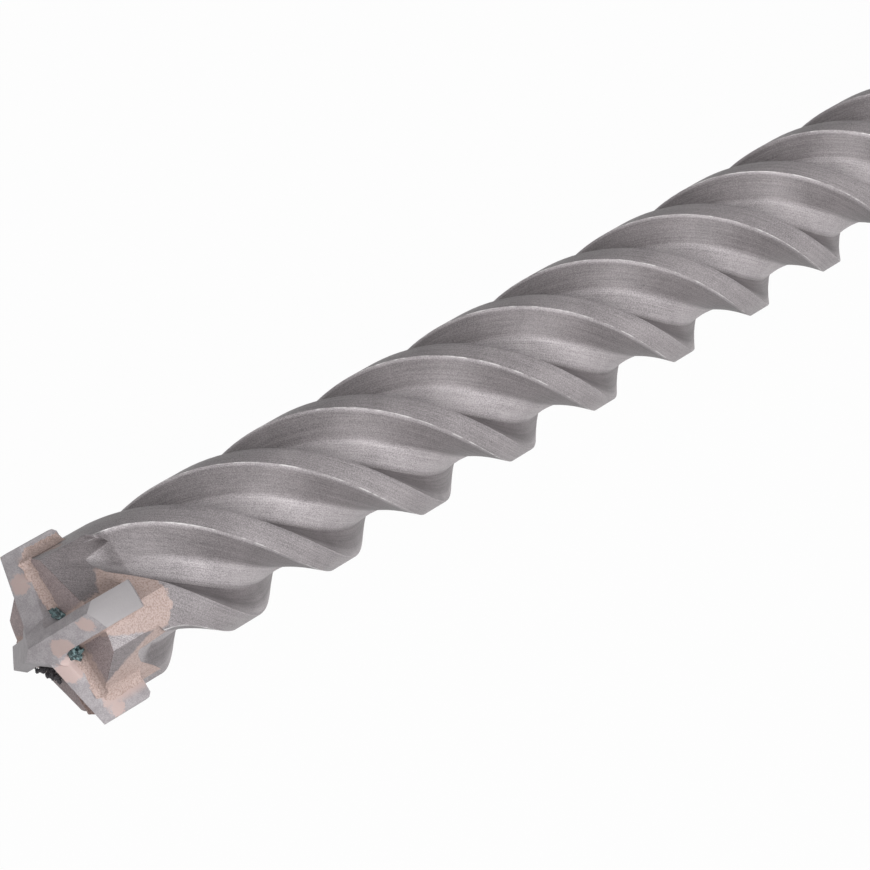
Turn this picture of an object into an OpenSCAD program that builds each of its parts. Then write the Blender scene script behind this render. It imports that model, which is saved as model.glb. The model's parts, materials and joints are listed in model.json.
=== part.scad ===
// Hammer drill bit with a cross-shaped carbide tip and four spiral flutes.
// Millimetres. The drill lies along +X: the striking face of the shank is at the
// origin and the point is at x = overall_len. It rests on the flute lands.
// It is modelled standing up on its striking face and laid down at the end. Sizes of
// the head are taken from a datum: a plane square to the axis, point_rise below the point.

/* [Whole drill] */
// Length from the striking face of the shank to the point
overall_len = 520; // [440:10:720]
// Length of the shank and neck, from the striking face to the first flute
shank_end = 134; // [128:1:180]

/* [Flutes] */
// Diameter over the lands of the flutes
flute_d = 27.75; // [26:0.25:29]
// Advance of one land in a full turn
lead = 91.1; // [70:0.5:120]
// Number of lands and of flutes
starts = 4; // [4:1:4]
// Angle of the section that a land takes up
land_angle = 22; // [16:0.5:28]
// Least radius of a flute floor, as a share of the land radius
floor_share = 0.63; // [0.55:0.01:0.75]
// Radius of the soft ridge in a flute, as a share of the land radius
ridge_share = 0.66; // [0.6:0.01:0.8]
// Where the ridge stands between two lands, from 0 to 1
ridge_at = 0.37; // [0.25:0.01:0.5]
// Where the steep wall to the next land starts, from 0 to 1
wall_at = 0.81; // [0.7:0.01:0.9]
// Angle at which the flutes rise out of the steel, at the head and at the neck
flute_rise = 25; // [15:1:40]

/* [Carbide tip] */
// Diameter across the two long arms
long_d = 32.1; // [31:0.1:34]
// Diameter across the two short arms
short_d = 30.7; // [29.5:0.1:32]
// Thickness of an arm
arm_t = 5; // [4.4:0.1:5.6]
// How far an arm's middle lies behind the plane through the axis
arm_shift = 0.25; // [0:0.05:0.5]
// Distance of a cutting edge from an arm's leading side
rake_w = 1.45; // [1:0.05:2]
// Angle at which the leading bevel falls from a cutting edge
rake_angle = 53; // [40:1:60]
// Angle at which the relief behind a cutting edge falls
relief_angle = 30; // [20:1:36]
// Slope of a long arm's cutting edge towards the rim
long_slope = 13; // [8:0.5:20]
// Height of the outer corner of a long arm above the datum
long_corner = 0.3; // [0:0.05:1]
// Height of the outer corner of a short arm above the datum
short_corner = 0.9; // [0:0.05:1.5]
// Height of the point above the datum
point_rise = 5.6; // [5:0.1:7]
// Depth of the tip's rear face below the datum
tip_depth = 9.3; // [8:0.1:12]
// Chamfer round the rear end of an arm
arm_chamfer = 0.6; // [0.3:0.1:0.9]
// Radius of the round corners between the arms
inner_r = 2; // [1:0.1:2.5]

/* [Steel head] */
// Depth of the steel front face below the datum
front_back = 1.5; // [1:0.1:2]
// Length of the full round head behind the front face
collar_len = 3; // [2.5:0.1:4]
// Distance below the datum at which a flute has its full depth
full_depth_back = 14; // [13:0.5:18]
// Distance of a milled flat from the axis
flat_r = 11.5; // [11:0.1:12.4]
// Direction of a milled flat ahead of its arm, in degrees
flat_angle = 27.5; // [25:0.5:30]
// Distance below the front face where a flat ends beside the lobe
flat_len = 9.6; // [8:0.2:12]
// Slant of the rear end of a flat, in degrees
flat_slant = 37; // [30:1:42]
// Angle of the lobe behind each arm, where its trailing edge runs straight
lobe_angle = 29.5; // [28:0.5:32]

/* [Braze] */
// Thickness of the brazing alloy between the tip and the steel
braze_t = 0.15; // [0.1:0.05:0.3]
// Size of the braze fillets beside the long arms
long_fillet = 1.5; // [0.8:0.1:2]
// Size of the braze fillets beside the short arms
short_fillet = 0.6; // [0.4:0.1:1]
// Size of the braze fillets along the flanks of the long arms
flank_fillet = 1.4; // [0.8:0.1:2]

/* [Shank] */
// Diameter of the plain stretch that the tool guides
shank_d = 18; // [17.8:0.05:18]
// How much slimmer the grooved stretch is than the plain one
groove_ease = 0.4; // [0.35:0.05:0.6]
// Length of the shank that goes into the tool
insert_len = 90; // [86:1:96]
// Chamfer of the striking face
strike_chamfer = 1.5; // [0.5:0.1:2]
// Diameter of the neck behind the flutes
neck_d = 21; // [19:0.25:23]
// Length of the plain shank that stays outside the tool, before the neck
plain_out = 24; // [20:1:30]
// Distance of the locking pockets from the striking face
lock_start = 22; // [18:0.5:26]
// Length of a locking pocket
lock_len = 30; // [26:0.5:34]
// Diameter of the cutter that leaves a locking pocket
lock_d = 7.6; // [6:0.1:9]
// Depth of a locking pocket
lock_depth = 2.6; // [2:0.1:3.2]
// Length of a drive groove, open at the striking face
drive_len = 72; // [68:1:78]
// Width of a drive groove
drive_w = 4.6; // [3.6:0.1:5.4]
// Depth of a drive groove
drive_depth = 2.6; // [2:0.1:3]

/* [Hidden] */

$fn = 64;
// How far cutters reach past the faces that they open
overlap = 0.01;
spare = 1;
steel_colour = [0.48, 0.46, 0.45];
carbide_colour = [0.55, 0.55, 0.57];
braze_colour = [0.76, 0.58, 0.49];

land_r = flute_d / 2;
shank_r = shank_d / 2;
grooved_r = shank_r - groove_ease / 2;
neck_r = neck_d / 2;
plain_len = insert_len + plain_out;
datum_z = overall_len - point_rise;
front_z = datum_z - front_back;
collar_z = front_z - collar_len;
tip_rear_z = datum_z - tip_depth;
seat_z = tip_rear_z - braze_t;
collar_over = 0.02;
// Leading side of an arm and its cutting edge, beside the plane through the axis
lead_y = arm_t / 2 - arm_shift;
edge_y = lead_y - rake_w;
blank_h = tip_depth + point_rise + spare;
// Slope of the short arms' edges that makes their reliefs meet at the point
short_slope = atan((point_rise - short_corner + edge_y * tan(relief_angle)) / (short_d / 2));
quarter = 360 / starts;
per_mm = 360 / lead;

// Angles of the arms: two long ones and two short ones
long_turn = quarter;
short_turn = 0;
all_arms = [long_turn, long_turn + 180, short_turn, short_turn + 180];

// Locking pockets on both sides of the lying drill, drive grooves above and below
upward = 45;
drive_spread = 35;
lock_sides = [upward + 90, upward - 90];
drive_sides = [upward, upward + 180 - drive_spread, upward + 180 + drive_spread];

// Flute sections per turn, and points on a land and across a flute
slices_per_turn = 26;
land_points = 4;
flute_points = 6;
ridge_dip = 0.035;
floor_dip = 0.02;
wall_power = 2.15;
// How softly a land's trailing edge leaves the straight lobe for the spiral
edge_blend = 9.5;
// Depth below the datum at which the leading edge of a land crosses its arm's plane
lead_edge_back = 14.2;
// The cone that the flutes start from, sunk a little below the neck's surface
neck_step = 0.3;
cone_angle = 24;
// Length of the cone between shank and neck for each millimetre of radius
neck_slope = 1.6;
neck_chamfer = 0.6;
// Height at which the flutes have their full depth above the neck
full_neck_z = shank_end + (land_r - land_r * floor_share) / tan(flute_rise);

// Leading edge of a land at height z, ahead of its arm
function lead_edge(z) = (lead_edge_back - (datum_z - z)) * per_mm;

// Trailing edge of the same land: spiral, bent straight beside the lobe
function spiral_past_lobe(z) = land_angle - lead_edge(z) - lobe_angle;
function trail_edge(z) =
    let (s = spiral_past_lobe(z))
    -lobe_angle - s / 2 - sqrt(s * s / 4 + edge_blend * edge_blend);

// Share of the land radius across a flute, v = 0 at the trailing edge of a land
// and v = 1 at the leading edge of the next one behind it
function flute_share(v) =
    v < ridge_at
        ? let (t = v / ridge_at) 1 + (ridge_share - 1) * t - ridge_dip * sin(180 * t)
    : v < wall_at
        ? let (t = (v - ridge_at) / (wall_at - ridge_at))
          ridge_share + (floor_share + floor_dip - ridge_share) * t - floor_dip * sin(180 * t)
    : let (t = (v - wall_at) / (1 - wall_at), f = floor_share + floor_dip)
      f + (1 - f) * pow(t, wall_power);

// How far a flute is lifted out of the steel: at the head and at the neck
function lift(z) = tan(flute_rise) * max(0, z - (datum_z - full_depth_back), full_neck_z - z);

// Radius that the run-out cone allows at height z
function cone_r(z) = neck_r - neck_step + (z - shank_end) * tan(cone_angle);

function flute_r(v, z) =
    min(land_r, land_r * flute_share(v) + lift(z), max(cone_r(z), neck_r - neck_step));

// One section of the fluted body, counter-clockwise seen from the point
function land_section(z, arm) = [
    for (k = [0 : land_points - 1])
        let (a = arm + trail_edge(z) + (lead_edge(z) - trail_edge(z)) * k / (land_points - 1),
             r = min(land_r, cone_r(z)))
        [r * cos(a), r * sin(a), z]
];
function flute_section(z, arm) = [
    for (k = [1 : flute_points])
        let (v = 1 - k / (flute_points + 1),
             a0 = arm + lead_edge(z),
             a1 = arm + quarter + trail_edge(z),
             a = a0 + (a1 - a0) * k / (flute_points + 1),
             r = flute_r(v, z))
        [r * cos(a), r * sin(a), z]
];
function body_section(z) = [
    for (i = [0 : starts - 1])
        each concat(land_section(z, i * quarter), flute_section(z, i * quarter))
];

// Heights of the sections: close together at the head, even along the flutes
spiral_step = lead / slices_per_turn;
head_step = 2;
head_zone = 20;
collar_lap = 0.5;
head_len = head_zone + collar_lap;
spiral_top = collar_z - head_zone;
spiral_count = ceil((spiral_top - shank_end) / spiral_step);
head_count = round(head_len / head_step);
section_heights = concat(
    [for (k = [0 : spiral_count]) shank_end + (spiral_top - shank_end) * k / spiral_count],
    [for (k = [1 : head_count]) spiral_top + head_len * k / head_count]
);

module fluted_bar() {
    per_ring = starts * (land_points + flute_points);
    rings = len(section_heights);
    points = [for (z = section_heights) each body_section(z)];
    sides = [
        for (i = [0 : rings - 2], j = [0 : per_ring - 1])
            let (j2 = (j + 1) % per_ring, a = i * per_ring, b = (i + 1) * per_ring)
            each [[a + j, b + j, a + j2], [a + j2, b + j, b + j2]]
    ];
    bottom = [for (j = [0 : per_ring - 1]) j];
    top = [for (j = [per_ring - 1 : -1 : 0]) (rings - 1) * per_ring + j];
    polyhedron(points, concat(sides, [bottom, top]));
}

// A block whose near face lies in a milled flat, ahead of the arm at angle arm
module flat_cutter(arm) {
    deep = flute_d;
    half = flute_d;
    corner = land_r * sin(acos(flat_r / land_r));
    rear_z = front_z - flat_len;
    rise = tan(flat_slant);
    rotate([0, 0, arm + flat_angle])
        translate([flat_r, 0, 0])
        rotate([90, 0, 90])
        linear_extrude(deep)
        polygon([
            [-half, front_z + spare],
            [half, front_z + spare],
            [half, rear_z + (half - corner) * rise],
            [-half, rear_z - (half + corner) * rise]
        ]);
}

// The slot of one arm, wider than the arm by w on each side
module arm_slot(arm, w, reach) {
    rotate([0, 0, arm])
        translate([-arm_t / 2 - w, -arm_shift - arm_t / 2 - w, tip_rear_z - w])
        cube([reach + arm_t / 2 + w, arm_t + 2 * w, front_z + overlap - tip_rear_z + w]);
}

// The slot's own round corners, wider than those of the tip by the braze
module slot_corners() {
    reach_x = arm_t - lead_y + inner_r;
    reach_y = lead_y + inner_r;
    for (turn = [0 : quarter : 359])
        rotate([0, 0, turn])
            difference() {
                translate([0, 0, seat_z]) cube([reach_x, reach_y, front_z + overlap - seat_z]);
                translate([reach_x, reach_y, seat_z - spare])
                    cylinder(r = inner_r - braze_t, h = tip_depth + 2 * spare);
            }
}

// Round end mill track along the shank, at the angle side
module locking_pocket(side) {
    r = lock_d / 2;
    rotate([0, 0, side])
        translate([shank_r + r - lock_depth, 0, 0])
        rounded_track(r);
}
module rounded_track(r) {
    first = lock_start + r;
    last = lock_start + lock_len - r;
    translate([0, 0, first]) cylinder(r = r, h = last - first);
    translate([0, 0, first]) sphere(r = r);
    translate([0, 0, last]) sphere(r = r);
}

// Flat-bottomed groove, open at the striking face and round at its end
module drive_groove(side) {
    end_ease = 0.02;  // slimmer by a hair, so that the two cutters don't just touch
    rotate([0, 0, side])
        translate([shank_r - drive_depth, 0, 0])
        rotate([0, 90, 0]) {
            translate([-drive_len + drive_w / 2, -drive_w / 2, 0])
                cube([drive_len + spare, drive_w, shank_r]);
            translate([-drive_len + drive_w / 2, 0, 0])
                cylinder(d = drive_w - end_ease, h = shank_r);
        }
}

module shank_blank() {
    neck_start = plain_len + (neck_r - shank_r) * neck_slope;
    neck_end = shank_end + neck_step;
    rotate_extrude()
        polygon([
            [0, 0],
            [grooved_r - strike_chamfer, 0],
            [grooved_r, strike_chamfer],
            [grooved_r, drive_len],
            [shank_r, drive_len + groove_ease / 2],
            [shank_r, plain_len],
            [neck_r, neck_start],
            [neck_r, shank_end - neck_chamfer],
            [neck_r - neck_chamfer, neck_end],
            [0, neck_end]
        ]);
}

module shank() {
    difference() {
        shank_blank();
        for (side = lock_sides) locking_pocket(side);
        for (side = drive_sides) drive_groove(side);
    }
}

module standing_steel() {
    difference() {
        union() {
            shank();
            fluted_bar();
            translate([0, 0, collar_z])
                cylinder(r = land_r + collar_over, h = collar_len);
        }
        for (arm = all_arms) flat_cutter(arm);
        for (arm = all_arms) arm_slot(arm, braze_t, flute_d);
        slot_corners();
    }
}

// Everything behind a plane that holds an edge line: the edge rises towards the
// axis by slope and the plane falls away sideways by fall, on the side dir
module under_plane(edge_y, corner_r, corner_z, slope, fall, dir) {
    reach = 2 * long_d;
    translate([corner_r, edge_y, corner_z])
        multmatrix([
            [1, 0, 0, 0],
            [0, 1, 0, 0],
            [-tan(slope), -dir * tan(fall), 1, 0],
            [0, 0, 0, 1]
        ])
        translate([-reach, -reach, -reach])
        cube([2 * reach, 2 * reach, reach]);
}

// One arm's half of a blade before its roof is ground
module arm_blank(r) {
    intersection() {
        translate([-arm_t / 2, lead_y - arm_t, tip_rear_z])
            cube([r + arm_t, arm_t, blank_h]);
        arm_end(r);
    }
}

// Round corners between the arms, as a block with a hollow quarter at each corner
module inner_corners() {
    reach_x = arm_t - lead_y + inner_r;
    reach_y = lead_y + inner_r;
    for (turn = [0 : quarter : 359])
        rotate([0, 0, turn])
            difference() {
                translate([0, 0, tip_rear_z]) cube([reach_x, reach_y, blank_h]);
                translate([reach_x, reach_y, tip_rear_z - spare])
                    cylinder(r = inner_r, h = blank_h + 2 * spare);
            }
}

// A blade of two opposite arms. Each arm has a steep bevel ahead of its cutting edge
// and a relief behind it, and the two reliefs meet in a short chisel edge.
module blade(r, corner, slope) {
    corner_z = datum_z + corner;
    intersection() {
        union() {
            arm_blank(r);
            rotate([0, 0, 180]) arm_blank(r);
            children();
        }
        under_plane(edge_y, r, corner_z, slope, rake_angle, 1);
        under_plane(edge_y, r, corner_z, slope, relief_angle, -1);
        rotate([0, 0, 180]) under_plane(edge_y, r, corner_z, slope, rake_angle, 1);
        rotate([0, 0, 180]) under_plane(edge_y, r, corner_z, slope, relief_angle, -1);
    }
}

// Round outer face with a chamfered rear end
module arm_end(r) {
    translate([0, 0, tip_rear_z]) {
        cylinder(r1 = r - arm_chamfer, r2 = r, h = arm_chamfer);
        translate([0, 0, arm_chamfer]) cylinder(r = r, h = blank_h);
    }
}

module standing_tip() {
    rotate([0, 0, long_turn]) blade(long_d / 2, long_corner, long_slope);
    rotate([0, 0, short_turn]) blade(short_d / 2, short_corner, short_slope) inner_corners();
}

// The steel head's own outline, shrunk a little, for what lies inside it
module head_outline() {
    inset = 0.1;
    height = front_z - seat_z + spare;
    difference() {
        translate([0, 0, seat_z - spare]) cylinder(r = land_r - inset, h = height);
        for (arm = all_arms)
            rotate([0, 0, arm + flat_angle])
                translate([flat_r - inset, -flute_d, seat_z - 2 * spare])
                cube([flute_d, 2 * flute_d, height + 2 * spare]);
    }
}

// Section of a fillet with a hollow face between two walls that leave a corner in
// the directions of wall_a and wall_b
module fillet_section(corner, wall_a, wall_b, size) {
    hollow = 0.3;
    polygon([
        corner,
        corner + size * wall_a,
        corner + size * hollow * (wall_a + wall_b),
        corner + size * wall_b
    ]);
}

// A fillet on the steel front face that runs out from the axis beside an arm
module front_fillet(side_y, dir, length, size) {
    translate([0, side_y, front_z])
        rotate([90, 0, 90])
        linear_extrude(length)
        fillet_section([0, 0], [dir, 0], [0, 1], size);
}

// Fillets along both flanks of an arm, on the milled flat and on the lobe
module flank_fillets() {
    flat_x = (flat_r - lead_y * sin(flat_angle)) / cos(flat_angle);
    lag_y = lead_y - arm_t;
    lobe_x = sqrt(pow(land_r + collar_over, 2) - lag_y * lag_y);
    lobe_turn = asin(lag_y / land_r);
    translate([0, 0, tip_rear_z])
        linear_extrude(front_z - tip_rear_z) {
            fillet_section([flat_x, lead_y], [1, 0], [-sin(flat_angle), cos(flat_angle)], flank_fillet);
            fillet_section([lobe_x, lag_y], [1, 0], [sin(lobe_turn), -cos(lobe_turn)], flank_fillet);
        }
}

module standing_braze() {
    // Fillets stop short of the rim, the ones on the flats' side a little less
    lead_run = flat_r - 0.6;
    lag_run = land_r - 1;
    difference() {
        union() {
            intersection() {
                union() {
                    for (arm = all_arms) arm_slot(arm, braze_t, flute_d);
                    slot_corners();
                }
                head_outline();
            }
            for (arm = all_arms)
                let (is_long = arm == long_turn || arm == long_turn + 180,
                     size = is_long ? long_fillet : short_fillet)
                rotate([0, 0, arm]) {
                    front_fillet(lead_y, 1, lead_run, size);
                    front_fillet(lead_y - arm_t, -1, lag_run, size);
                }
            for (turn = [0, 180]) rotate([0, 0, long_turn + turn]) flank_fillets();
        }
        standing_tip();
    }
}

// The drill lies down with its point along +X and its arms crossed at 45 degrees
module lie_down() {
    rotate([135, 0, 0]) rotate([0, 90, 0]) children();
}

module steel_body() { color(steel_colour) lie_down() standing_steel(); }
module carbide_tip() { color(carbide_colour) lie_down() standing_tip(); }
module braze() { color(braze_colour) lie_down() standing_braze(); }

steel_body();
carbide_tip();
braze();
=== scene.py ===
import json
import math
import random

import bmesh
import bpy
from mathutils import Matrix, Vector, noise as field

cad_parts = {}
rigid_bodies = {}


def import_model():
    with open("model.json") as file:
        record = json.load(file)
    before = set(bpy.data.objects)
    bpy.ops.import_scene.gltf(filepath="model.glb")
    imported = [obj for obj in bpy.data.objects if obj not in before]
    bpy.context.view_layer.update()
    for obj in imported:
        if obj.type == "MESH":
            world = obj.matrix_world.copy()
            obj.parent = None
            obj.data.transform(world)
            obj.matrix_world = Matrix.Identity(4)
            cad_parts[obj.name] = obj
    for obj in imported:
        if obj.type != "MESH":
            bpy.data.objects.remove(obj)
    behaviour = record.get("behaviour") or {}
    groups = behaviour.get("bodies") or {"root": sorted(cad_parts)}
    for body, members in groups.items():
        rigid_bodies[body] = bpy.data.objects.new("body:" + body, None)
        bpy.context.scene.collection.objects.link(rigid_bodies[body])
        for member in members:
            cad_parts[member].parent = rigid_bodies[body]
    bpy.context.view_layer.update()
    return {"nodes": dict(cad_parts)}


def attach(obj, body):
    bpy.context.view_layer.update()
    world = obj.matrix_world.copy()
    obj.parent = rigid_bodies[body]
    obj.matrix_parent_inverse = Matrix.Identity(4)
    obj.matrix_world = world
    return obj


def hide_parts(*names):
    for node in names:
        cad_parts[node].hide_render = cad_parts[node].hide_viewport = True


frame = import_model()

mm = 0.001
scene = bpy.context.scene

# Lengths in metres, angles in degrees
drill = {
    "length": 0.520,
    "pointRise": 0.0056,      # point in front of the datum plane
    "frontBack": 0.0015,      # steel front face behind the datum plane
    "tipDepth": 0.0093,       # rear face of the tip behind the datum plane
    "armTurn": 45.0,          # the first short arm points up and towards +Y
    "armLead": 0.00225,       # leading side of an arm, beside the axis
    "armLag": 0.00275,        # trailing side of an arm
    "innerRadius": 0.002,     # round corners between the arms
    "brazeFilm": 0.00015,     # gap for the alloy round the tip
    "longRadius": 0.01605,    # ground ends of the long arms, from the axis
    "shortRadius": 0.01535,
    "flatRadius": 0.0115,     # milled flats, from the axis
    "flatAhead": 27.5,
}
datumX = drill["length"] - drill["pointRise"]
frontX = datumX - drill["frontBack"]
tipRearX = datumX - drill["tipDepth"]
longArms = (90.0, 270.0)
shortArms = (0.0, 180.0)
allArms = shortArms + longArms


# Small helpers for meshes and node trees

def addObject(name, mesh):
    made = bpy.data.objects.new(name, mesh)
    scene.collection.objects.link(made)
    return made


def meshFrom(name, build):
    mesh = bpy.data.meshes.new(name)
    shape = bmesh.new()
    build(shape)
    bmesh.ops.recalc_face_normals(shape, faces=shape.faces)
    shape.to_mesh(mesh)
    shape.free()
    return mesh


def addNode(tree, kind, **settings):
    made = tree.nodes.new(kind)
    for key, value in settings.items():
        setattr(made, key, value)
    return made


def feed(tree, socket, value):
    if isinstance(value, bpy.types.NodeSocket):
        tree.links.new(value, socket)
    elif value is not None:
        socket.default_value = value


def calc(tree, operation, *values, clamp=False):
    made = addNode(tree, "ShaderNodeMath", operation=operation, use_clamp=clamp)
    for socket, value in zip(made.inputs, values):
        feed(tree, socket, value)
    return made.outputs[0]


def times(tree, one, other):
    return calc(tree, "MULTIPLY", one, other)


def plus(tree, one, other):
    return calc(tree, "ADD", one, other)


def minus(tree, one, other):
    return calc(tree, "SUBTRACT", one, other)


def timesPlus(tree, one, factor, offset):
    return calc(tree, "MULTIPLY_ADD", one, factor, offset)


# Soft step from one value to another
def ramp(tree, value, low, high, toLow=0.0, toHigh=1.0):
    made = addNode(tree, "ShaderNodeMapRange", interpolation_type="SMOOTHSTEP")
    for name, given in (("Value", value), ("From Min", low), ("From Max", high),
                        ("To Min", toLow), ("To Max", toHigh)):
        feed(tree, made.inputs[name], given)
    return made.outputs["Result"]


def addSockets(tree, inputs, outputs):
    for name, kind, value in inputs:
        socket = tree.interface.new_socket(name=name, in_out="INPUT", socket_type=kind)
        if value is not None:
            socket.default_value = value
    for name, kind in outputs:
        tree.interface.new_socket(name=name, in_out="OUTPUT", socket_type=kind)


# Turns a drill that stands on its shank, first short arm along +x, into the lying one
def standing(turn=0.0):
    lie = Matrix(((0, 0, 1), (1, 0, 0), (0, 1, 0))).to_4x4()
    onAxis = Matrix.Rotation(math.radians(turn), 4, "Z")
    return Matrix.Rotation(math.radians(drill["armTurn"]), 4, "X") @ lie @ onAxis


# Runs a geometry tree on an empty mesh and returns the plain mesh that it makes
def bakeTree(tree, name, sizes):
    holder = addObject(name + "Holder", bpy.data.meshes.new(name + "Start"))
    modifier = holder.modifiers.new(name, "NODES")
    modifier.node_group = tree
    for item in tree.interface.items_tree:
        if item.in_out == "INPUT" and item.name in sizes:
            modifier[item.identifier] = sizes[item.name]
    graph = bpy.context.evaluated_depsgraph_get()
    made = bpy.data.meshes.new_from_object(holder.evaluated_get(graph))
    made.name = name
    holder.modifiers.remove(modifier)
    bpy.data.objects.remove(holder)
    return made


def finishTree(tree, geometry, material):
    whole = addNode(tree, "GeometryNodeRealizeInstances")
    coat = addNode(tree, "GeometryNodeSetMaterial")
    tree.links.new(geometry, whole.inputs[0])
    tree.links.new(whole.outputs[0], coat.inputs["Geometry"])
    coat.inputs["Material"].default_value = material
    tree.links.new(coat.outputs[0], addNode(tree, "NodeGroupOutput").inputs[0])


def applyModifiers(obj):
    graph = bpy.context.evaluated_depsgraph_get()
    made = bpy.data.meshes.new_from_object(obj.evaluated_get(graph))
    obj.modifiers.clear()
    obj.data = made


def softShade(mesh, sharpAngle):
    mesh.shade_smooth()
    mesh.set_sharp_from_angle(angle=math.radians(sharpAngle))


steelFinish = bpy.data.materials.new("blastedSteel")
carbideFinish = bpy.data.materials.new("sinteredCarbide")
brazeFinish = bpy.data.materials.new("copperBraze")
fluxFinish = bpy.data.materials.new("glassyFlux")
crustFinish = bpy.data.materials.new("burntCrust")


# The fluted bar follows one rule: a section of lands and flutes that turns with the lead

flutes = {
    "Land Radius": 0.013875,
    "Lead": 0.0911,
    "Land Angle": 22.0,
    "Lead Edge Back": 0.0142,     # where a land's leading edge crosses its arm
    "Lobe Angle": 29.5,
    "Edge Blend": 9.5,
    "Rise Slope": math.tan(math.radians(25)),
    "Start X": 0.134,
    "Full Neck X": 0.145,
    "Spiral Top X": 0.478,
    "Full Head X": datumX - 0.014,
    "Collar X": frontX - 0.003,
    "Front X": frontX,
    "Neck Radius": 0.0105,
}
section = {
    "starts": 4,
    "columns": 42,                # over one land and one flute
    "landColumns": 16,
    "spiralRings": 300,
    "headRings": 120,
    "floorShare": 0.65,
    "ridgeShare": 0.66,
    "ridgeAt": 0.37,
    "wallAt": 0.81,
    "ridgeDip": 0.035,
    "floorDip": 0.02,
    "wallPower": 2.15,
    "coneSlope": math.tan(math.radians(24)),
    "neckStep": 0.0003,
}


# Share of the land radius across a flute, from 0 at a land's trailing edge to 1 at the next land
def flutedShare(tree, across):
    def stretch(low, high):
        return calc(tree, "DIVIDE", minus(tree, across, low), high - low, clamp=True)

    def dip(t, depth):
        return times(tree, calc(tree, "SINE", times(tree, t, math.pi)), -depth)

    ridgeAt, wallAt = section["ridgeAt"], section["wallAt"]
    tail = stretch(0.0, ridgeAt)
    floor = stretch(ridgeAt, wallAt)
    wall = stretch(wallAt, 1.0)
    share = timesPlus(tree, tail, section["ridgeShare"] - 1.0, 1.0)
    share = plus(tree, share, dip(tail, section["ridgeDip"]))
    share = timesPlus(tree, floor, section["floorShare"] - section["ridgeShare"], share)
    share = plus(tree, share, dip(floor, section["floorDip"]))
    rise = calc(tree, "POWER", wall, section["wallPower"])
    return timesPlus(tree, rise, 1.0 - section["floorShare"], share)


# 1 on the side of a mesh cylinder and 0 in the middle of its ends
def offAxis(tree, place):
    squares = [times(tree, place.outputs[i], place.outputs[i]) for i in (0, 1)]
    return calc(tree, "GREATER_THAN", plus(tree, *squares), 0.5)


# Leading and trailing edge of a land, in degrees ahead of its arm, at a distance behind the datum.
# The trailing edge is a spiral that bends into the straight lobe of the head.
def landEdges(tree, behind, sizes):
    leadEdge = times(tree, minus(tree, sizes["Lead Edge Back"], behind), 360.0)
    leadEdge = calc(tree, "DIVIDE", leadEdge, sizes["Lead"])
    past = minus(tree, minus(tree, sizes["Land Angle"], leadEdge), sizes["Lobe Angle"])
    half = times(tree, past, 0.5)
    bend = calc(tree, "SQRT", timesPlus(tree, half, half, calc(tree, "POWER", sizes["Edge Blend"], 2.0)))
    trailEdge = times(tree, plus(tree, plus(tree, sizes["Lobe Angle"], half), bend), -1.0)
    return leadEdge, trailEdge


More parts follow.
